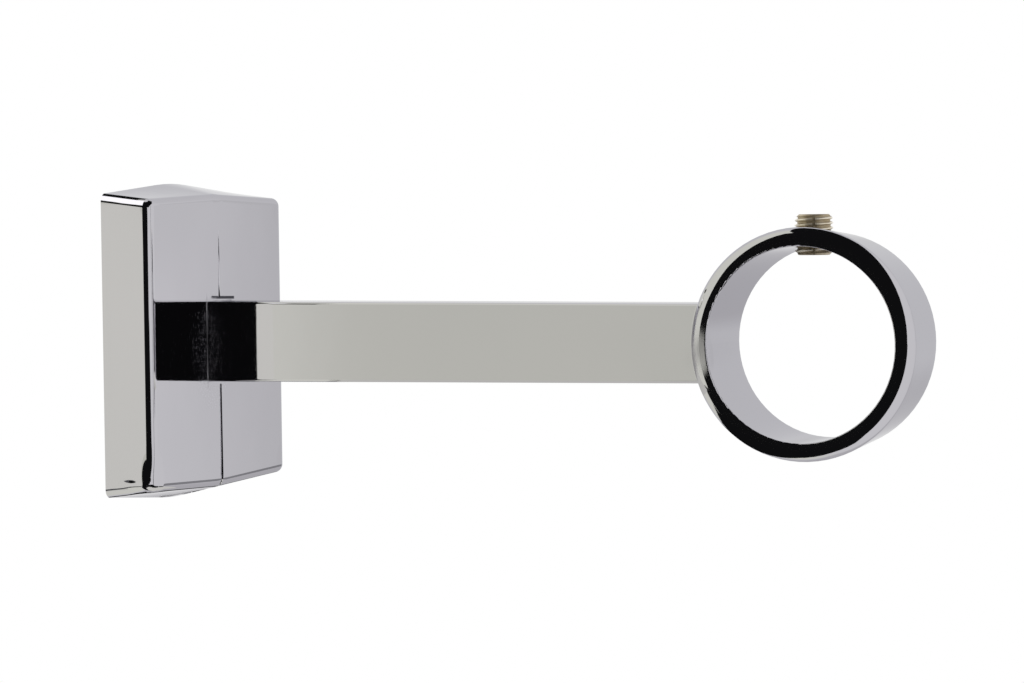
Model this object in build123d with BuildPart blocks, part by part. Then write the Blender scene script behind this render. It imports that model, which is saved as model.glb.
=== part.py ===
"""Centre bracket for a 28 mm curtain pole: a hollow wall base, a flat bar arm and a
ring in one zinc casting, with a clamping grub screw in the ring, and a steel wall
plate inside the base that a second grub screw locks.

Frame, in millimetres: the wall is the plane y = 0, the arm runs out along -Y, the
pole lies along X, and Z is up. The origin is the middle of the base on the wall.
"""
import os

from build123d import *

# Ring, for the pole
pole_diameter = 28.0
pole_clearance = 0.4
ring_width = 15.1
ring_wall_front = 2.9
ring_wall_back = 1.9
ring_rim_radius = 1.7
ring_back_rim_radius = 0.8
bore_edge_radius = 0.25

# Arm, measured from the wall to the pole's axis
projection = 107.5
arm_thickness = 8.5
arm_height_root = 12.7
arm_height_ring = 11.7
arm_edge_radius = 0.4
arm_root_fillet = 0.1
arm_ring_fillet = 0.8

# Base, drafted from the wall to its front and from its middle to its sides, so that
# a low ridge with a soft crest runs along the middle of its top and underside
base_depth = 8.4
base_back_width = 44.8
base_front_width = 44.2
base_back_height = 46.8
base_front_height = 44.8
base_back_ridge = 1.8
base_front_ridge = 0.65
base_back_crest_radius = 60.0
base_front_crest_radius = 40.0
base_edge_radius = 1.35
base_side_wall = 2.4
base_front_wall = 2.0
cavity_corner_radius = 1.5

# Wall plate, a pressed channel that fits the hollow of the base
plate_thickness = 1.5
plate_clearance = 0.3
plate_flange_depth = 4.8
plate_bend_radius = 0.8
plate_hole_diameter = 5.0
plate_hole_spacing = 24.0

# Grub screws
thread_clearance = 0.05
slot_share = 0.2
chamfer_share = 0.1
pole_screw_diameter = 5.7
pole_screw_length = 6.0
pole_screw_reach = 1.4
pole_screw_slot_turn = 108.0
base_screw_diameter = 4.0
base_screw_length = 3.0
base_screw_setback = 3.4
base_screw_slot_turn = 20.0

# Derived sizes
bore_radius = pole_diameter / 2 + pole_clearance
ring_front_radius = bore_radius + ring_wall_front
ring_back_radius = bore_radius + ring_wall_back
pole_axis = Axis((0, -projection, 0), (1, 0, 0))
cavity_width = base_back_width - 2 * base_side_wall
cavity_height = base_back_height - 2 * base_side_wall
cavity_depth = base_depth - base_front_wall
plate_width = cavity_width - 2 * plate_clearance
plate_height = cavity_height - 2 * plate_clearance
base_half_height = base_back_height / 2 + base_back_ridge
pole_screw_tip = bore_radius - pole_screw_reach


def ridged_outline(plane, width, height, ridge, crest_radius):
    """Face on a plane with upright sides, and a top and bottom that rise to a soft middle crest."""
    half_w = width / 2
    half_h = height / 2
    with BuildSketch(plane) as outline:
        with BuildLine():
            Polyline(
                (-half_w, -half_h),
                (-half_w, half_h),
                (0, half_h + ridge),
                (half_w, half_h),
                (half_w, -half_h),
                (0, -half_h - ridge),
                close=True,
            )
        make_face()
        crests = vertices().sort_by(Axis.Y)
        fillet([crests[0], crests[-1]], radius=crest_radius)
    return outline.sketch.face()


os.makedirs("parts", exist_ok=True)

with BuildPart() as bracket_body:
    # Base block, wider and taller on the wall than at its front
    base_back = ridged_outline(
        Plane.XZ, base_back_width, base_back_height, base_back_ridge, base_back_crest_radius
    )
    base_front = ridged_outline(
        Plane.XZ.offset(base_depth),
        base_front_width,
        base_front_height,
        base_front_ridge,
        base_front_crest_radius,
    )
    loft(sections=[base_back, base_front])
    fillet(edges().filter_by(lambda e: e.center().Y < -base_depth / 4), radius=base_edge_radius)

    # Arm, tapering from the base to the pole's axis
    with BuildSketch(Plane.YZ):
        with BuildLine():
            Polyline(
                (-base_front_wall, arm_height_root / 2),
                (-projection, arm_height_ring / 2),
                (-projection, -arm_height_ring / 2),
                (-base_front_wall, -arm_height_root / 2),
                close=True,
            )
        make_face()
    extrude(amount=arm_thickness / 2, both=True)
    arm_edges = edges(Select.LAST).filter_by(lambda e: e.length > projection / 2)
    fillet(arm_edges, radius=arm_edge_radius)
    root_edges = edges().filter_by(
        lambda e: abs(e.center().Y + base_depth) < 0.01 and abs(e.center().X) < arm_thickness
    )
    fillet(root_edges.filter_by(lambda e: abs(e.center().Z) < arm_height_root), radius=arm_root_fillet)

    # Ring, first as a drafted disc around the pole's axis
    with BuildSketch(Plane.XY):
        with BuildLine():
            Polyline(
                (-ring_width / 2, -projection),
                (-ring_width / 2, -projection + ring_front_radius),
                (ring_width / 2, -projection + ring_back_radius),
                (ring_width / 2, -projection),
                close=True,
            )
        make_face()
        rim_corners = vertices().filter_by(lambda v: v.Y > -projection + bore_radius).sort_by(Axis.X)
        fillet(rim_corners[0], radius=ring_rim_radius)
        fillet(rim_corners[-1], radius=ring_back_rim_radius)
    revolve(axis=pole_axis)
    junction_edges = edges().filter_by(
        lambda e: abs(e.center().X) < arm_thickness * 0.52 and abs(e.center().Z) < arm_height_ring * 0.52
    )
    junction_edges = junction_edges.filter_by(
        lambda e: abs(e.center().Y + projection - bore_radius) < ring_wall_front + bore_radius * 0.1
    )
    fillet(junction_edges, radius=arm_ring_fillet)

    # Pole bore with eased edges
    with BuildSketch(Plane.YZ.offset(-ring_width)):
        with Locations((-projection, 0)):
            Circle(bore_radius)
    extrude(amount=2 * ring_width, mode=Mode.SUBTRACT)
    bore_edges = edges().filter_by(GeomType.CIRCLE).filter_by(lambda e: abs(e.radius - bore_radius) < 0.01)
    fillet(bore_edges, radius=bore_edge_radius)

    # Tapped hole through the top of the ring
    with BuildSketch(Plane.XY):
        with Locations((0, -projection)):
            Circle(pole_screw_diameter / 2 + thread_clearance)
    extrude(amount=2 * ring_front_radius, mode=Mode.SUBTRACT)

    # Hollow of the base and the tapped hole in its underside
    with BuildSketch(Plane.XZ):
        RectangleRounded(cavity_width, cavity_height, cavity_corner_radius)
    extrude(amount=cavity_depth, mode=Mode.SUBTRACT)
    with BuildSketch(Plane.XY.offset(-2 * base_half_height)):
        with Locations((0, -base_screw_setback)):
            Circle(base_screw_diameter / 2 + thread_clearance)
    extrude(amount=base_half_height + base_back_height / 2, mode=Mode.SUBTRACT)
bracket_body.part.label = "bracket_body"
export_step(bracket_body.part, "parts/bracket_body.step")

with BuildPart() as wall_plate:
    with BuildSketch(Plane.YZ):
        with BuildLine():
            Polyline(
                (0, plate_height / 2),
                (0, -plate_height / 2),
                (-plate_flange_depth, -plate_height / 2),
                (-plate_flange_depth, -plate_height / 2 + plate_thickness),
                (-plate_thickness, -plate_height / 2 + plate_thickness),
                (-plate_thickness, plate_height / 2 - plate_thickness),
                (-plate_flange_depth, plate_height / 2 - plate_thickness),
                (-plate_flange_depth, plate_height / 2),
                close=True,
            )
        make_face()
    extrude(amount=plate_width / 2, both=True)
    inner_bends = edges().filter_by(Axis.X).group_by(Axis.Y)[-2]
    fillet(inner_bends, radius=plate_bend_radius)
    outer_bends = edges().filter_by(Axis.X).group_by(Axis.Y)[-1]
    fillet(outer_bends, radius=plate_bend_radius + plate_thickness)
    with BuildSketch(Plane.XZ):
        RectangleRounded(plate_width, plate_height, cavity_corner_radius)
    extrude(amount=plate_flange_depth, mode=Mode.INTERSECT)
    with BuildSketch(Plane.XZ):
        with GridLocations(0, plate_hole_spacing, 1, 2):
            Circle(plate_hole_diameter / 2)
    extrude(amount=plate_thickness, mode=Mode.SUBTRACT)
wall_plate.part.label = "wall_plate"
export_step(wall_plate.part, "parts/wall_plate.step")

# Grub screws: each plane looks out of the slotted end
pole_screw_end = Plane(
    origin=(0, -projection, pole_screw_tip + pole_screw_length),
    z_dir=(0, 0, 1),
)
base_screw_end = Plane(
    origin=(0, -base_screw_setback, -plate_height / 2 - base_screw_length),
    z_dir=(0, 0, -1),
)
grub_screws = (
    ("pole_grub_screw", pole_screw_end, pole_screw_diameter, pole_screw_length, pole_screw_slot_turn),
    ("base_grub_screw", base_screw_end, base_screw_diameter, base_screw_length, base_screw_slot_turn),
)
for screw_name, slotted_end, diameter, length, slot_turn in grub_screws:
    with BuildPart() as grub_screw:
        with BuildSketch(slotted_end):
            Circle(diameter / 2)
        extrude(amount=-length)
        chamfer(edges().filter_by(GeomType.CIRCLE), length=diameter * chamfer_share)
        with BuildSketch(slotted_end):
            Rectangle(diameter * 2, diameter * slot_share, rotation=slot_turn)
        extrude(amount=-diameter * slot_share, mode=Mode.SUBTRACT)
    grub_screw.part.label = screw_name
    export_step(grub_screw.part, f"parts/{screw_name}.step")
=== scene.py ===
"""Centre bracket for a curtain pole: chrome casting, cut grub screws and wall plate on a studio stage."""
import math

import bmesh
import bpy
from mathutils import Matrix, Vector


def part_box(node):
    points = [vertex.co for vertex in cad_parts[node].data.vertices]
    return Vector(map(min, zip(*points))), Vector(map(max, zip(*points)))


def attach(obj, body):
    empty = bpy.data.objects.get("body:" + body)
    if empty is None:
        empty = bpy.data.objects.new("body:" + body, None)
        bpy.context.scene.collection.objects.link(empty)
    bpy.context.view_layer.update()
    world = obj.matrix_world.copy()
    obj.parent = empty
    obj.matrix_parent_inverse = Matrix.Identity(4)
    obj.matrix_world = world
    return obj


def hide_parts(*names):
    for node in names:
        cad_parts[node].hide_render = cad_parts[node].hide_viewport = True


bl_info = {
    "name": "Curtain Pole Centre Bracket",
    "version": (1, 0, 0),
    "blender": (4, 5, 0),
    "location": "View3D > Sidebar > Pole Bracket",
    "description": "Finishes a chrome centre bracket for a curtain pole and sets its studio stage",
    "category": "Object",
}

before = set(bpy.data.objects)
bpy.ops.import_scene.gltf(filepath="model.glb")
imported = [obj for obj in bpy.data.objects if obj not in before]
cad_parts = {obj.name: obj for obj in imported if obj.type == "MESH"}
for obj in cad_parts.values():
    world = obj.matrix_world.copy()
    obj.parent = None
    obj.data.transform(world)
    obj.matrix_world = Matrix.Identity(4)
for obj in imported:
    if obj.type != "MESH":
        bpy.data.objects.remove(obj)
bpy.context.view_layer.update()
MM = 0.001

# Thread: its depth as a share of the pitch, and the section of one turn as points that lie on the
# crest (1) or the root (0) with their place along the pitch
THREAD_DEPTH = 0.54
THREAD_SECTION = ((0, 0.0), (0, 0.12), (1, 0.44), (1, 0.56), (0, 0.88), (0, 1.0))
THREAD_STEPS = 40
SPARE_TURNS = 4

# Grub screws, as shares of their radius
BLANK_SHARE = 1.02
CHAMFER_SHARE = 0.22
SLOT_SHARE = 0.4
GROOVE_DEEP_SHARE = 0.4
GROOVE_WIDE_SHARE = 0.13

# Parting seam on the base: the plane of the base's front, where the seam begins, how far from the
# middle it stops at the arm, and the round lower edge that it follows to its end
SEAM_Y = -8.4 * MM
SEAM_TOP = 17.5 * MM
SEAM_AT_ARM = 6.9 * MM
SEAM_EDGE = -21.3 * MM
SEAM_EDGE_RADIUS = 1.35 * MM
SEAM_END_Y = -6.0 * MM
# Heights of the seam as shares of its tallest; round the edge, with the turn in degrees
SEAM_TOP_SHARE = 0.1
SEAM_ARM_SHARE = 0.62
SEAM_EDGE_SHARE = 0.92
SEAM_ROUND_SHARES = ((15, 0.9), (30, 0.8), (45, 0.65), (60, 0.5), (75, 0.35), (90, 0.2))
SEAM_END_SHARE = 0.02
# Section of the seam, as shares of its tallest: how deep its foot is sunk, and how far its steep
# near side and its long far side reach
BEAD_SUNK = 0.1
BEAD_NEAR = 0.45
BEAD_FAR = 1.2
# How far off the casting the seam's place is looked for
SEAM_LOOK = 20 * MM

# Hollows in the casting, in millimetres: a middle, a reach on each axis and a depth. They are three
# corners that the wheel rounds, the sink where the arm joins the ring, and two slips of the wheel
# above the base's lower edge
HOLLOWS = (
    ((-22.3, -8.3, 21.2), (3.6, 3.6, 4.5), 0.09),
    ((22.3, -8.3, 21.2), (3.6, 3.6, 4.5), 0.09),
    ((22.3, -8.3, -21.2), (3.6, 3.6, 4.5), 0.09),
    ((-7.5, -90.4, -2.0), (4.0, 4.5, 5.0), 0.3),
    ((-22.3, -4.4, -21.1), (3.0, 6.0, 1.2), 0.078),
    ((-22.3, -4.4, -22.0), (2.0, 2.4, 0.7), 0.04),
)
# Spots on the casting, in millimetres: a middle and a reach on each axis
TURNED_CORNER = (-22.0, -7.2, -21.8), (3.5, 3.5, 7.0)
GRAINY_ROOT = (-2.5, -6.6, -1.5), (6.5, 6.5, 10.0)
# Line of painted shade that darkens the crease where the arm meets the base
CREASE_SHADE_LINE = (-4.25, -8.4, 0.0), (0.5, 0.5, 8.0)
DULL_SINK = (-7.6, -91.2, -1.2), (3.2, 3.6, 4.8)

# Stage, in metres and watts
FLOOR_RADIUS = 0.85
FLOOR_MIDDLE_Y = -0.06
TENT_RADIUS = 6.0
SOFTBOX_SIZE = 0.8
SOFTBOX_POWER = 5.0
SOFTBOX_PLACE = Vector((-0.7, -0.6, 0.8))
SOFTBOX_AIM = Vector((0.0, -0.05, 0.0))
FILL_STRENGTH = 0.65
BACKDROP_STRENGTH = 1.0


def linear(hex_colour, level=1.0):
    """Linear RGBA of an sRGB hex colour at a light level."""
    channels = []
    for start in (0, 2, 4):
        value = int(hex_colour[start:start + 2], 16) / 255
        if value <= 0.04045:
            value = value / 12.92
        else:
            value = ((value + 0.055) / 1.055) ** 2.4
        channels.append(level * value)
    return (*channels, 1.0)


WHITE = linear("FFFFFF")
FLOCK = linear("161617")
FELT = linear("606064")
PALE_FELT = linear("A6A6A8")
CLOTH = linear("F0F0E8")
PAPER = linear("FFFFF5", 1.02)
PANEL = linear("FFFFFE", 1.95)
# Cards round the bracket, seen only as reflections: a name, a shade, the axis that the card lies
# across, its level on that axis, and its corners on the two other axes, in millimetres
CARDS = (
    (
        "card_beside_ring",
        FLOCK,
        "X",
        -30.0,
        ((-125, -60), (-70, -60), (-70, -12), (-82.6, -9), (-82.6, 60), (-125, 60)),
    ),
    ("card_over_ring", FLOCK, "Z", 150.0, ((-1500, -1627), (110, -150), (110, -49.5), (-1500, -49.5))),
    (
        "card_under_ring",
        FLOCK,
        "Z",
        -60.0,
        (
            (-1500, -1513),
            (-56, -141),
            (-16, -92),
            (29, -70),
            (45, -65),
            (45, -16),
            (14, -16),
            (-36, -2.5),
            (-95, 22),
            (-95, -45),
            (-1500, -45),
        ),
    ),
    (
        "card_low_far",
        FLOCK,
        "Z",
        -200.0,
        ((100, 20), (160, 50), (350, 100), (600, 200), (875, 389), (314, 224), (100, 150)),
    ),
    ("card_under_arm", CLOTH, "Z", -8.0, ((-14, -88.5), (-7.5, -91), (4, -92), (4, -30), (-14, -30))),
    ("card_under_corner", PAPER, "Z", -28.0, ((-26, -15), (-5, -15), (-5, -8.5), (-26, -8.5))),
    ("card_beside_arm", FLOCK, "X", -30.0, ((-14.5, 10), (-6, 10), (-6, 30), (-14.5, 30))),
    ("card_panel", PANEL, "Z", 30.0, ((-38.5, -5), (-22, -5), (-22, 7), (-38.5, 7))),
    ("card_under_panel", FLOCK, "X", -45.0, ((-2, 23.6), (22, 23.6), (22, 32), (-2, 32))),
    ("card_behind_panel", FLOCK, "Z", 40.0, ((-23, 0), (10, 0), (10, 14), (-23, 14))),
    ("card_beside_base", PAPER, "X", -60.0, ((8.5, -30), (40, -30), (40, 22), (8.5, 22))),
    ("card_low_left", FLOCK, "X", -45.0, ((11.9, -32), (30, -32), (30, -26), (11.9, -26))),
    ("card_low_near", FELT, "X", -45.0, ((3, -32), (11.9, -32), (11.9, -26), (3, -26))),
    ("card_low_front", PALE_FELT, "Y", -20.0, ((-5, -31.5), (60, -31.5), (60, -24.9), (-5, -24.9))),
    ("card_over_root", FELT, "X", 5.0, ((-12.5, 6.5), (-8.3, 6.5), (-8.3, 6.95), (-12.5, 6.95))),
)


def past_turn(degrees):
    """Plane through the upright whose inside is every direction turned past an angle from -X to -Y."""
    turn = math.radians(degrees)
    return (math.sin(turn), -math.cos(turn), 0.0), 0.0


def before_turn(degrees):
    """Plane through the upright whose inside is every direction turned less than an angle."""
    turn = math.radians(degrees)
    return (-math.sin(turn), math.cos(turn), 0.0), 0.0


def above(degrees):
    """Level plane whose inside is every direction that rises more than an angle."""
    return (0.0, 0.0, 1.0), math.sin(math.radians(degrees))


def below(degrees):
    """Level plane whose inside is every direction that rises less than an angle."""
    return (0.0, 0.0, -1.0), -math.sin(math.radians(degrees))


# Far edge of the dark room: it meets the horizon 42.5 degrees round and lies further round above it
ROOM_FAR_EDGE = (-0.544, 0.593, 0.593), 0.0
# Patches of the light tent, seen only as reflections: a shade, the softness of its edges in
# degrees and the planes it lies inside
PATCHES = (
    (linear("F8F8F8"), 6.0, (past_turn(157), before_turn(250))),
    (linear("E9E9E9"), 6.0, (past_turn(185), before_turn(206), above(-9), below(9))),
    (linear("E3E2E3"), 8.0, (past_turn(157), before_turn(215), below(-9))),
    (linear("EEEEEE"), 3.0, (past_turn(152), before_turn(159), above(-20), below(15))),
    (linear("F8F8F8"), 1.5, (past_turn(140), before_turn(152), above(-0.7), below(10))),
    (linear("FEFFF2", 1.06), 20.0, (past_turn(-112), before_turn(-20))),
    (linear("F0F1E4"), 3.0, (past_turn(-26.5), before_turn(-9.5), above(-30), below(30))),
    (FLOCK, 1.0, (past_turn(-17.5), ROOM_FAR_EDGE, above(-35), below(75))),
)


class BracketSizes(bpy.types.PropertyGroup):
    """Sizes of the pieces that are modelled here."""

    pole_thread_pitch: bpy.props.FloatProperty(
        name="Pole screw pitch",
        description="Thread pitch of the screw in the ring",
        default=0.75 * MM,
        unit="LENGTH",
        precision=5,
    )
    base_thread_pitch: bpy.props.FloatProperty(
        name="Base screw pitch",
        description="Thread pitch of the screw in the base",
        default=0.7 * MM,
        unit="LENGTH",
        precision=5,
    )
    pole_slot_turn: bpy.props.FloatProperty(
        name="Pole screw slot",
        description="How far the slot of the screw in the ring is turned",
        default=math.radians(108),
        subtype="ANGLE",
    )
    base_slot_turn: bpy.props.FloatProperty(
        name="Base screw slot",
        description="How far the slot of the screw in the base is turned",
        default=math.radians(20),
        subtype="ANGLE",
    )
    groove_turn: bpy.props.FloatProperty(
        name="Thread groove",
        description="Where the groove along the screws' threads lies, turned from the pole's direction",
        default=math.radians(197),
        subtype="ANGLE",
    )
    seam_height: bpy.props.FloatProperty(
        name="Seam height",
        description="How far the casting's parting seam stands out at its tallest",
        default=0.26 * MM,
        unit="LENGTH",
        precision=5,
    )


class BracketColours(bpy.types.PropertyGroup):
    """Colours of the finishes."""

    chrome: bpy.props.StringProperty(
        name="Chrome", description="Chrome plate, sRGB hex", default="C1BFC4"
    )
    chrome_film: bpy.props.StringProperty(
        name="Chrome film", description="Chrome under a thin film of wax, sRGB hex", default="BAB9BE"
    )
    chrome_edge: bpy.props.StringProperty(
        name="Chrome edge", description="Tint of chrome seen at a slant, sRGB hex", default="E1E1E4"
    )
    # Colour of the painted shade in the crease where the arm meets the base
    paste: bpy.props.StringProperty(
        name="Crease shade", description="Painted shade in the crease where the arm meets the base, sRGB hex", default="48484A"
    )
    nickel: bpy.props.StringProperty(
        name="Nickel", description="Nickel on the screws, sRGB hex", default="F2EBDB"
    )
    # Colour of the painted shade in the thread roots, also used for the random stains
    nickel_root_shade_and_stain: bpy.props.StringProperty(
        name="Thread roots", description="Painted shade in the thread roots and random stains, sRGB hex", default="B2A388"
    )
    zinc: bpy.props.StringProperty(
        name="Zinc", description="Zinc plate on the wall plate, sRGB hex", default="C3C9CF"
    )
    zinc_cloud: bpy.props.StringProperty(
        name="Zinc clouds", description="Duller clouds in the zinc, sRGB hex", default="A3ABB2"
    )
    floor: bpy.props.StringProperty(
        name="Floor", description="Plain floor, sRGB hex", default="F6F6F4"
    )


class BracketStage(bpy.types.PropertyGroup):
    """Camera and floor of the stage."""

    yaw: bpy.props.FloatProperty(
        name="Yaw",
        description="Turn of the camera away from the pole's direction",
        default=math.radians(23.13),
        subtype="ANGLE",
    )
    pitch: bpy.props.FloatProperty(
        name="Pitch",
        description="How far the camera looks down",
        default=math.radians(2.23),
        subtype="ANGLE",
    )
    roll: bpy.props.FloatProperty(
        name="Roll",
        description="Tilt of the camera",
        default=math.radians(-0.71),
        subtype="ANGLE",
    )
    lens: bpy.props.FloatProperty(
        name="Lens", description="Focal length on a 36 mm sensor", default=119.53, min=10, max=400
    )
    ring_offset: bpy.props.FloatVectorProperty(
        name="Ring from the camera",
        description="Ring's centre to the right of, above and in front of the camera",
        default=(44.72 * MM, -0.22 * MM, 501.76 * MM),
        unit="LENGTH",
        precision=5,
    )
    floor_level: bpy.props.FloatProperty(
        name="Floor level", description="Height of the floor", default=-0.2, unit="LENGTH"
    )


def add_node(tree, kind, inputs=None, **settings):
    """Adds a node with its settings, and sets or links its inputs."""
    node = tree.nodes.new(kind)
    for name, value in settings.items():
        setattr(node, name, value)
    for name, value in (inputs or {}).items():
        if isinstance(value, bpy.types.NodeSocket):
            tree.links.new(value, node.inputs[name])
        else:
            node.inputs[name].default_value = value
    return node


def new_tree(owner):
    """Empty node tree of a new material or world."""
    owner.use_nodes = True
    owner.node_tree.nodes.clear()
    return owner.node_tree


def object_place(tree):
    """Place on the object in its own coordinates, in metres."""
    return add_node(tree, "ShaderNodeTexCoord").outputs["Object"]


def noise(tree, place, size_mm, detail):
    """Noise that repeats about once in a size given in millimetres."""
    return add_node(
        tree, "ShaderNodeTexNoise", {"Vector": place, "Scale": 1 / (size_mm * MM), "Detail": detail}
    ).outputs["Fac"]


def bump(tree, height, tall_mm, over=None, invert=False):
    """Normal of a height map that is so many millimetres tall, laid over another normal."""
    inputs = {"Height": height, "Distance": tall_mm * MM}
    if over is not None:
        inputs["Normal"] = over
    return add_node(tree, "ShaderNodeBump", inputs, invert=invert).outputs["Normal"]


def spread(tree, value, low, high, to_low=0.0, to_high=1.0, curve="LINEAR"):
    """Value carried from the range low to high over to another range, and held to it."""
    return add_node(
        tree,
        "ShaderNodeMapRange",
        {"Value": value, "From Min": low, "From Max": high, "To Min": to_low, "To Max": to_high},
        interpolation_type=curve,
    ).outputs["Result"]


def calculate(tree, operation, *values, clamp=False):
    """Result of a maths node on one to three values."""
    return add_node(
        tree, "ShaderNodeMath", dict(enumerate(values)), operation=operation, use_clamp=clamp
    ).outputs["Value"]


def dot(tree, first, second):
    """Dot product of two vectors."""
    return add_node(
        tree, "ShaderNodeVectorMath", {0: first, 1: second}, operation="DOT_PRODUCT"
    ).outputs["Value"]


def blend(tree, share, first, second):
    """Colour that goes from the first to the second by a share; the node's colours are inputs 6 and 7."""
    return add_node(
        tree, "ShaderNodeMix", {0: share, 6: first, 7: second}, data_type="RGBA"
    ).outputs[2]


def glow(tree, shade):
    """Surface that shows a shade as it is, whatever light falls on it."""
    return add_node(tree, "ShaderNodeEmission", {"Color": shade, "Strength": 1.0}).outputs["Emission"]


def mixed_shader(tree, share, first, second):
    """Shader that goes from the first to the second by a share."""
    return add_node(tree, "ShaderNodeMixShader", {0: share, 1: first, 2: second}).outputs["Shader"]


def spot_place(tree, place, middle, reach):
    """Place counted from a middle in shares of the reach on each axis, both in millimetres."""
    return add_node(
        tree,
        "ShaderNodeMapping",
        {"Vector": place, "Location": Vector(middle) * MM, "Scale": Vector(reach) * MM},
        vector_type="TEXTURE",
    ).outputs["Vector"]


def spot_mask(tree, place, middle, reach, falloff):
    """Mask that is 1 at a middle and falls to 0 at its reach on each axis, both in millimetres."""
    local = spot_place(tree, place, middle, reach)
    return add_node(
        tree, "ShaderNodeTexGradient", {"Vector": local}, gradient_type=falloff
    ).outputs["Fac"]


def chrome_material(colours):
    """Bright chrome electroplated on a polished zinc casting.

    It mirrors the room almost sharply. The polishing wheel leaves slow waves a few millimetres
    long, which bend the reflected edges, and rounds the corners of the base; it turns the near
    lower one towards the front. The plating leaves a fine orange peel, and handling a faint haze
    and film. The corner where the arm meets the base is out of the wheel's reach: it keeps the
    grain of the mould, and a grey line of painted shade darkens its crease. The sink where the
    arm joins the ring keeps the dull skin of the mould.
    """
    material = bpy.data.materials.new("chrome_plated_zinc")
    tree = new_tree(material)
    place = object_place(tree)
    waves = noise(tree, place, size_mm=9.0, detail=1.0)
    normal = bump(tree, waves, tall_mm=0.009)
    peel = noise(tree, place, size_mm=1.3, detail=2.0)
    normal = bump(tree, peel, tall_mm=0.0006, over=normal)
    for middle, reach, depth in HOLLOWS:
        hollow = spot_mask(tree, place, middle, reach, "QUADRATIC_SPHERE")
        normal = bump(tree, hollow, tall_mm=depth, over=normal, invert=True)
    worn = spot_mask(tree, place, *TURNED_CORNER, "QUADRATIC_SPHERE")
    turned = dot(tree, spot_place(tree, place, *TURNED_CORNER), (-1.0, 1.0, 0.0))
    turned = calculate(tree, "MULTIPLY", turned, worn)
    normal = bump(tree, turned, tall_mm=1.7, over=normal)
    root = spot_mask(tree, place, *GRAINY_ROOT, "SPHERICAL")
    grain = noise(tree, place, size_mm=0.3, detail=2.0)
    grain = spread(tree, grain, low=0.58, high=0.74)
    grain = calculate(tree, "MULTIPLY", grain, root)
    normal = bump(tree, grain, tall_mm=0.07, over=normal)

    haze = noise(tree, place, size_mm=14.0, detail=4.0)
    haze = spread(tree, haze, low=0.35, high=0.75, to_low=0.03, to_high=0.07)
    grain_dullness = 0.3
    rough = calculate(tree, "MULTIPLY_ADD", grain, grain_dullness, haze)
    sink = spot_mask(tree, place, *DULL_SINK, "SPHERICAL")
    sink_dullness = 0.5
    rough = calculate(tree, "MULTIPLY_ADD", sink, sink_dullness, rough, clamp=True)
    film = noise(tree, place, size_mm=28.0, detail=2.0)
    colour = blend(tree, film, linear(colours.chrome), linear(colours.chrome_film))
    # Painted shade: a grey line darkening the crease where the arm meets the base
    paste = spot_mask(tree, place, *CREASE_SHADE_LINE, "SPHERICAL")
    colour = blend(tree, paste, colour, linear(colours.paste))
    shader = add_node(
        tree,
        "ShaderNodeBsdfPrincipled",
        {
            "Base Color": colour,
            "Metallic": 1.0,
            "Roughness": rough,
            "Specular Tint": linear(colours.chrome_edge),
            "Normal": normal,
        },
    )
    add_node(tree, "ShaderNodeOutputMaterial", {"Surface": shader.outputs["BSDF"]})
    return material


def nickel_material(colours):
    """Nickel plated steel, thread cut and then plated thinly.

    The crests are warm grey and half bright, the roots are darkened brown by painted shade and
    random stains lie over the whole thread, and the cutting leaves fine steps along each flank.
    The steps are drawn at 0.12 mm, coarser than real.
    """
    material = bpy.data.materials.new("nickel_plated_thread")
    tree = new_tree(material)
    place = object_place(tree)
    root = add_node(tree, "ShaderNodeAttribute", attribute_name="thread_root").outputs["Fac"]
    # Painted shade darkens the thread roots by their depth; random stains lie over the whole thread
    stain = noise(tree, place, size_mm=1.1, detail=4.0)
    stain_middle = 0.5
    stain_share = 0.9
    root_shade_and_stain = calculate(tree, "SUBTRACT", stain, stain_middle)
    root_shade_and_stain = calculate(tree, "MULTIPLY_ADD", root_shade_and_stain, stain_share, root, clamp=True)
    colour = blend(tree, root_shade_and_stain, linear(colours.nickel), linear(colours.nickel_root_shade_and_stain))
    rough = spread(tree, root_shade_and_stain, low=0.0, high=1.0, to_low=0.28, to_high=0.5)
    steps = noise(tree, place, size_mm=0.12, detail=1.0)
    normal = bump(tree, steps, tall_mm=0.006)
    shader = add_node(
        tree,
        "ShaderNodeBsdfPrincipled",
        {"Base Color": colour, "Metallic": 0.8, "Roughness": rough, "Normal": normal},
    )
    add_node(tree, "ShaderNodeOutputMaterial", {"Surface": shader.outputs["BSDF"]})
    return material


def zinc_material(colours):
    """Bright zinc plate on cold rolled steel.

    Bluish grey and half dull, with clouds a few millimetres wide where the bath was uneven and
    faint rolling lines along the strip. The lines are drawn at 0.25 mm, coarser than real.
    """
    material = bpy.data.materials.new("zinc_plated_steel_strip")
    tree = new_tree(material)
    place = object_place(tree)
    clouds = noise(tree, place, size_mm=5.0, detail=5.0)
    colour = blend(tree, clouds, linear(colours.zinc), linear(colours.zinc_cloud))
    rough = spread(tree, clouds, low=0.3, high=0.7, to_low=0.24, to_high=0.42)
    drawn_out = (0.02, 1.0, 1.0)
    along = add_node(
        tree, "ShaderNodeMapping", {"Vector": place, "Scale": drawn_out}
    ).outputs["Vector"]
    lines = noise(tree, along, size_mm=0.25, detail=2.0)
    normal = bump(tree, lines, tall_mm=0.004)
    shader = add_node(
        tree,
        "ShaderNodeBsdfPrincipled",
        {"Base Color": colour, "Metallic": 1.0, "Roughness": rough, "Normal": normal},
    )
    add_node(tree, "ShaderNodeOutputMaterial", {"Surface": shader.outputs["BSDF"]})
    return material


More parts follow.
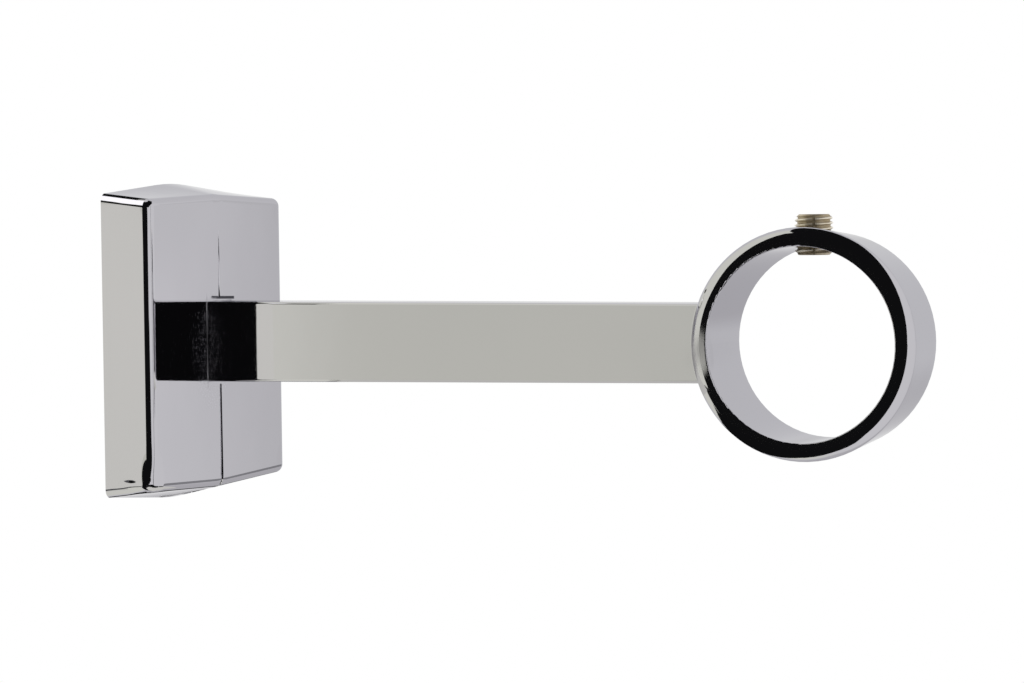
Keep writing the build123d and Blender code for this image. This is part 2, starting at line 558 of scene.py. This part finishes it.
def floor_material(colours):
    """Matt white paper; seen from below it lets the view through."""
    material = bpy.data.materials.new("floor_paper")
    tree = new_tree(material)
    paper = add_node(
        tree, "ShaderNodeBsdfPrincipled", {"Base Color": linear(colours.floor), "Roughness": 0.9}
    ).outputs["BSDF"]
    clear = add_node(tree, "ShaderNodeBsdfTransparent").outputs["BSDF"]
    under = add_node(tree, "ShaderNodeNewGeometry").outputs["Backfacing"]
    surface = mixed_shader(tree, under, paper, clear)
    add_node(tree, "ShaderNodeOutputMaterial", {"Surface": surface})
    return material


def card_material(name, shade):
    """Card of the light tent: black flock, grey felt, pale cloth, white paper or a lit panel."""
    material = bpy.data.materials.new(name)
    tree = new_tree(material)
    add_node(tree, "ShaderNodeOutputMaterial", {"Surface": glow(tree, shade)})
    return material


def tent_material():
    """Light tent: pale cloth patches and the dark room round the camera, clear everywhere else."""
    material = bpy.data.materials.new("light_tent")
    tree = new_tree(material)
    place = object_place(tree)
    out = add_node(tree, "ShaderNodeVectorMath", {0: place}, operation="NORMALIZE").outputs["Vector"]
    tent = add_node(tree, "ShaderNodeBsdfTransparent").outputs["BSDF"]
    for shade, soft, planes in PATCHES:
        half = math.radians(soft) / 2
        cover = None
        for normal, level in planes:
            reach = dot(tree, out, normal)
            inside = spread(tree, reach, level - half, level + half, curve="SMOOTHSTEP")
            cover = inside if cover is None else calculate(tree, "MULTIPLY", cover, inside)
        tent = mixed_shader(tree, cover, tent, glow(tree, shade))
    add_node(tree, "ShaderNodeOutputMaterial", {"Surface": tent})
    return material


def white_light(tree, strength):
    """White light of a strength from all round."""
    return add_node(
        tree, "ShaderNodeBackground", {"Color": WHITE, "Strength": strength}
    ).outputs["Background"]


def studio_world():
    """White to the camera, to mirrors and through glass, and soft fill light on everything else."""
    world = bpy.data.worlds.new("white_studio")
    tree = new_tree(world)
    fill = white_light(tree, FILL_STRENGTH)
    backdrop = white_light(tree, BACKDROP_STRENGTH)
    path = add_node(tree, "ShaderNodeLightPath").outputs
    seen = calculate(tree, "ADD", path["Is Camera Ray"], path["Is Glossy Ray"])
    seen = calculate(tree, "ADD", seen, path["Is Transmission Ray"], clamp=True)
    add_node(tree, "ShaderNodeOutputWorld", {"Surface": mixed_shader(tree, seen, fill, backdrop)})
    return world


def new_piece(bm, name, material):
    """Object at the origin with the bmesh as its mesh."""
    mesh = bpy.data.meshes.new(name)
    bm.to_mesh(mesh)
    bm.free()
    mesh.materials.append(material)
    piece = bpy.data.objects.new(name, mesh)
    bpy.context.scene.collection.objects.link(piece)
    return piece


def new_box(size):
    """Bmesh of a box round the origin."""
    bm = bmesh.new()
    bmesh.ops.create_cube(bm, size=1.0)
    bmesh.ops.scale(bm, vec=size, verts=bm.verts)
    return bm


def cut_with(piece, tool, operation):
    """Cuts a piece by a tool for good, and throws the tool away."""
    cut = piece.modifiers.new("cut", "BOOLEAN")
    cut.operation = operation
    cut.solver = "EXACT"
    cut.object = tool
    shaped = bpy.data.meshes.new_from_object(
        piece.evaluated_get(bpy.context.evaluated_depsgraph_get())
    )
    piece.modifiers.clear()
    old = piece.data
    piece.data = shaped
    shaped.name = old.name
    bpy.data.meshes.remove(old)
    bpy.data.meshes.remove(tool.data)


def threaded_rod(radius, pitch, length):
    """Closed bmesh of a rod along Z with a 60 degree thread, a little longer than its length."""
    root = radius - THREAD_DEPTH * pitch
    turns = math.ceil(length / pitch) + SPARE_TURNS
    start = -length / 2 - SPARE_TURNS / 2 * pitch
    weld = pitch * 0.005
    bm = bmesh.new()
    verts = []
    for on_crest, share in THREAD_SECTION:
        verts.append(bm.verts.new((radius if on_crest else root, 0.0, start + share * pitch)))
    edges = [bm.edges.new(pair) for pair in zip(verts, verts[1:])]
    bmesh.ops.spin(
        bm,
        geom=verts + edges,
        cent=(0.0, 0.0, 0.0),
        axis=(0.0, 0.0, 1.0),
        dvec=(0.0, 0.0, pitch / THREAD_STEPS),
        angle=2 * math.pi * turns,
        steps=THREAD_STEPS * turns,
    )
    bmesh.ops.remove_doubles(bm, verts=bm.verts, dist=weld)
    # The first and last turns run out, so the rod is cut level inside them and closed
    lower_cut = start + 1.4 * pitch
    upper_cut = -start - 0.6 * pitch
    for level, way in ((lower_cut, -1), (upper_cut, 1)):
        bmesh.ops.bisect_plane(
            bm,
            geom=bm.verts[:] + bm.edges[:] + bm.faces[:],
            plane_co=(0.0, 0.0, level),
            plane_no=(0.0, 0.0, way),
            clear_outer=True,
        )
        rim = []
        for edge in bm.edges:
            on_plane = all(abs(vert.co.z - level) < 2 * weld for vert in edge.verts)
            if edge.is_boundary and on_plane:
                rim.append(edge)
        bmesh.ops.edgeloop_fill(bm, edges=rim)
    bmesh.ops.recalc_face_normals(bm, faces=bm.faces)
    return bm


def grub_screw(node, pitch, slot_turn, groove_turn, slotted_up, material):
    """Slotted grub screw with a cut, grooved thread and chamfered ends, in the place of its CAD node."""
    low, high = (Vector(corner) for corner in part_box(node))
    middle = (low + high) / 2
    radius = (high.x - low.x) / 2
    length = high.z - low.z
    blank_radius = radius * BLANK_SHARE
    piece = new_piece(threaded_rod(radius, pitch, length), node + "_cut", material)

    blank = bmesh.new()
    bmesh.ops.create_cone(
        blank, cap_ends=True, segments=64, radius1=blank_radius, radius2=blank_radius, depth=length
    )
    ends = [e for e in blank.edges if abs(e.verts[0].co.z - e.verts[1].co.z) < length / 4]
    bmesh.ops.bevel(
        blank,
        geom=ends,
        offset=radius * CHAMFER_SHARE,
        segments=1,
        profile=0.5,
        affect="EDGES",
        material=-1,
    )
    cut_with(piece, new_piece(blank, "blank", material), "INTERSECT")

    slot_width = radius * SLOT_SHARE
    slot = new_box((radius * 4, slot_width, slot_width * 2))
    bmesh.ops.rotate(slot, matrix=Matrix.Rotation(slot_turn, 3, "Z"), verts=slot.verts)
    end = length / 2 if slotted_up else -length / 2
    bmesh.ops.translate(slot, vec=(0.0, 0.0, end), verts=slot.verts)
    cut_with(piece, new_piece(slot, "slot", material), "DIFFERENCE")

    groove = new_box((radius * GROOVE_DEEP_SHARE, radius * GROOVE_WIDE_SHARE, length * 2))
    bmesh.ops.translate(groove, vec=(blank_radius, 0.0, 0.0), verts=groove.verts)
    bmesh.ops.rotate(groove, matrix=Matrix.Rotation(groove_turn, 3, "Z"), verts=groove.verts)
    cut_with(piece, new_piece(groove, "groove", material), "DIFFERENCE")

    piece.data.transform(Matrix.Translation(middle))
    root_depth = THREAD_DEPTH * pitch
    depth = piece.data.attributes.new("thread_root", "FLOAT", "POINT")
    for vert in piece.data.vertices:
        out = math.hypot(vert.co.x - middle.x, vert.co.y - middle.y)
        depth.data[vert.index].value = min(1.0, max(0.0, (radius - out) / root_depth))
    return piece


def between(first, last, share):
    """Value that lies a share of the way from the first to the last."""
    return first + (last - first) * share


def seam_stations(casting):
    """Points, outward directions and heights of the seam: above the arm, and below it round the edge."""
    front = Vector((0, -1, 0))
    looks = []
    for share in (0.0, 0.15, 0.3, 0.5, 0.75, 1.0):
        place = Vector((0, SEAM_Y, between(SEAM_TOP, SEAM_AT_ARM, share)))
        looks.append((place, front, between(SEAM_TOP_SHARE, SEAM_ARM_SHARE, share)))
    count_above = len(looks)
    for share in (0.0, 0.2, 0.4, 0.6, 0.8, 1.0):
        place = Vector((0, SEAM_Y, between(-SEAM_AT_ARM, SEAM_EDGE, share)))
        looks.append((place, front, between(SEAM_ARM_SHARE, SEAM_EDGE_SHARE, share)))
    edge_middle = Vector((0, SEAM_Y + SEAM_EDGE_RADIUS, SEAM_EDGE))
    for degrees, height in SEAM_ROUND_SHARES:
        turn = math.radians(degrees)
        looks.append((edge_middle, Vector((0, -math.cos(turn), -math.sin(turn))), height))
    looks.append((Vector((0, SEAM_END_Y, SEAM_EDGE)), Vector((0, 0, -1)), SEAM_END_SHARE))
    stations = []
    for aim, way, height in looks:
        hit, point, _, _ = casting.ray_cast(aim + way * SEAM_LOOK, -way)
        if not hit:
            raise RuntimeError("the seam found no casting under it")
        stations.append((point, way, height))
    return stations[:count_above], stations[count_above:]


def seam_bead(stations, tall):
    """Closed bmesh of a three-sided bead through the stations, steep on its near side."""
    bm = bmesh.new()
    cap = None
    last = None
    for point, way, height in stations:
        foot = point - way * tall * BEAD_SUNK
        corners = (
            foot - Vector((tall * BEAD_NEAR, 0.0, 0.0)),
            point + way * tall * height,
            foot + Vector((tall * BEAD_FAR, 0.0, 0.0)),
        )
        if cap is None:
            cap = bm.faces.new([bm.verts.new(corner) for corner in corners])
        else:
            grown = bmesh.ops.extrude_face_region(bm, geom=[cap])["geom"]
            cap = next(part for part in grown if isinstance(part, bmesh.types.BMFace))
            for vert in cap.verts:
                nearest = min(range(3), key=lambda corner: (last[corner] - vert.co).length)
                vert.co = corners[nearest]
        last = corners
    bmesh.ops.recalc_face_normals(bm, faces=bm.faces)
    return bm


def add_floor(scene):
    """Round paper floor, kept out of the chrome's reflections."""
    bm = bmesh.new()
    bmesh.ops.create_circle(bm, cap_ends=True, segments=96, radius=FLOOR_RADIUS)
    middle = (0.0, FLOOR_MIDDLE_Y, scene.bracket_stage.floor_level)
    bmesh.ops.translate(bm, vec=middle, verts=bm.verts)
    floor = new_piece(bm, "floor", floor_material(scene.bracket_colours))
    floor.visible_glossy = False


def add_reflections():
    """Light tent and cards, which show only as reflections."""
    bm = bmesh.new()
    bmesh.ops.create_uvsphere(bm, u_segments=64, v_segments=32, radius=TENT_RADIUS)
    seen_in_chrome = [new_piece(bm, "light_tent", tent_material())]
    for name, shade, axis, level, corners in CARDS:
        bm = bmesh.new()
        place = "XYZ".index(axis)
        spots = [Vector((*corner[:place], level, *corner[place:])) * MM for corner in corners]
        bm.faces.new([bm.verts.new(spot) for spot in spots])
        seen_in_chrome.append(new_piece(bm, name, card_material(name, shade)))
    for card in seen_in_chrome:
        card.visible_camera = False
        card.visible_diffuse = False
        card.visible_transmission = False
        card.visible_shadow = False


def add_softbox(scene):
    """Large soft lamp over the near side, kept out of the chrome's reflections."""
    light = bpy.data.lights.new("softbox", "AREA")
    light.size = SOFTBOX_SIZE
    light.energy = SOFTBOX_POWER
    softbox = bpy.data.objects.new("softbox", light)
    scene.collection.objects.link(softbox)
    softbox.location = SOFTBOX_PLACE
    softbox.rotation_euler = (SOFTBOX_AIM - SOFTBOX_PLACE).to_track_quat("-Z", "Y").to_euler()
    softbox.visible_glossy = False


def add_camera(scene):
    """Camera turned and set off from the ring's centre as the stage says."""
    stage = scene.bracket_stage
    forward = Vector((
        math.cos(stage.yaw) * math.cos(stage.pitch),
        math.sin(stage.yaw) * math.cos(stage.pitch),
        -math.sin(stage.pitch),
    ))
    level = Vector((math.sin(stage.yaw), -math.cos(stage.yaw), 0.0))
    upright = level.cross(forward)
    right = level * math.cos(stage.roll) + upright * math.sin(stage.roll)
    up = upright * math.cos(stage.roll) - level * math.sin(stage.roll)
    low, high = (Vector(corner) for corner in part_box("pole_grub_screw"))
    ring_centre = Vector(((low.x + high.x) / 2, (low.y + high.y) / 2, 0.0))
    across, rise, ahead = stage.ring_offset
    lens = bpy.data.cameras.new("camera")
    lens.sensor_width = 36.0
    lens.lens = stage.lens
    lens.clip_start = 0.01
    camera = bpy.data.objects.new("camera", lens)
    scene.collection.objects.link(camera)
    turn = Matrix((right, up, -forward)).transposed().to_4x4()
    place = ring_centre - right * across - up * rise - forward * ahead
    camera.matrix_world = Matrix.Translation(place) @ turn
    scene.camera = camera


class BRACKET_OT_casting(bpy.types.Operator):
    """Plate the casting with chrome and raise the parting seam on its base"""

    bl_idname = "bracket.casting"
    bl_label = "Chrome casting"

    def execute(self, context):
        chrome = chrome_material(context.scene.bracket_colours)
        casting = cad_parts["bracket_body"]
        for slot in casting.material_slots:
            slot.material = chrome
        tall = context.scene.bracket_sizes.seam_height
        for name, stations in zip(("seam_above_arm", "seam_below_arm"), seam_stations(casting)):
            seam = new_piece(seam_bead(stations, tall), name, chrome)
            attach(seam, "bracket")
        return {"FINISHED"}


class BRACKET_OT_wall_plate(bpy.types.Operator):
    """Plate the wall plate with zinc"""

    bl_idname = "bracket.wall_plate"
    bl_label = "Zinc wall plate"

    def execute(self, context):
        zinc = zinc_material(context.scene.bracket_colours)
        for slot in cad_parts["wall_plate"].material_slots:
            slot.material = zinc
        return {"FINISHED"}


class BRACKET_OT_grub_screws(bpy.types.Operator):
    """Cut the threads and slots of the two grub screws"""

    bl_idname = "bracket.grub_screws"
    bl_label = "Grub screws"

    def execute(self, context):
        sizes = context.scene.bracket_sizes
        nickel = nickel_material(context.scene.bracket_colours)
        screws = (
            ("pole_grub_screw", "pole_screw", sizes.pole_thread_pitch, sizes.pole_slot_turn, True),
            ("base_grub_screw", "base_screw", sizes.base_thread_pitch, sizes.base_slot_turn, False),
        )
        for node, body, pitch, slot_turn, slotted_up in screws:
            screw = grub_screw(node, pitch, slot_turn, sizes.groove_turn, slotted_up, nickel)
            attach(screw, body)
            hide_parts(node)
        return {"FINISHED"}


class BRACKET_OT_stage(bpy.types.Operator):
    """Set the floor, the light tent with its cards, the softbox and the camera"""

    bl_idname = "bracket.stage"
    bl_label = "Studio stage"

    def execute(self, context):
        scene = context.scene
        scene.world = studio_world()
        scene.view_settings.view_transform = "Standard"
        add_floor(scene)
        add_reflections()
        add_softbox(scene)
        add_camera(scene)
        return {"FINISHED"}


class BRACKET_PT_panel(bpy.types.Panel):
    """Sidebar panel of the bracket"""

    bl_idname = "BRACKET_PT_panel"
    bl_label = "Pole Bracket"
    bl_space_type = "VIEW_3D"
    bl_region_type = "UI"
    bl_category = "Pole Bracket"

    def draw(self, context):
        layout = self.layout
        for group in (
            context.scene.bracket_sizes,
            context.scene.bracket_colours,
            context.scene.bracket_stage,
        ):
            column = layout.column(align=True)
            for name in group.__annotations__:
                column.prop(group, name)
        for operator in OPERATORS:
            layout.operator(operator.bl_idname)


OPERATORS = (BRACKET_OT_casting, BRACKET_OT_wall_plate, BRACKET_OT_grub_screws, BRACKET_OT_stage)
GROUPS = (
    ("bracket_sizes", BracketSizes),
    ("bracket_colours", BracketColours),
    ("bracket_stage", BracketStage),
)


def register():
    for name, group in GROUPS:
        bpy.utils.register_class(group)
        setattr(bpy.types.Scene, name, bpy.props.PointerProperty(type=group))
    for operator in OPERATORS:
        bpy.utils.register_class(operator)
    bpy.utils.register_class(BRACKET_PT_panel)


def unregister():
    bpy.utils.unregister_class(BRACKET_PT_panel)
    for operator in reversed(OPERATORS):
        bpy.utils.unregister_class(operator)
    for name, group in reversed(GROUPS):
        delattr(bpy.types.Scene, name)
        bpy.utils.unregister_class(group)


def main():
    register()
    bpy.ops.bracket.casting()
    bpy.ops.bracket.wall_plate()
    bpy.ops.bracket.grub_screws()
    bpy.ops.bracket.stage()


if __name__ == "__main__":
    main()
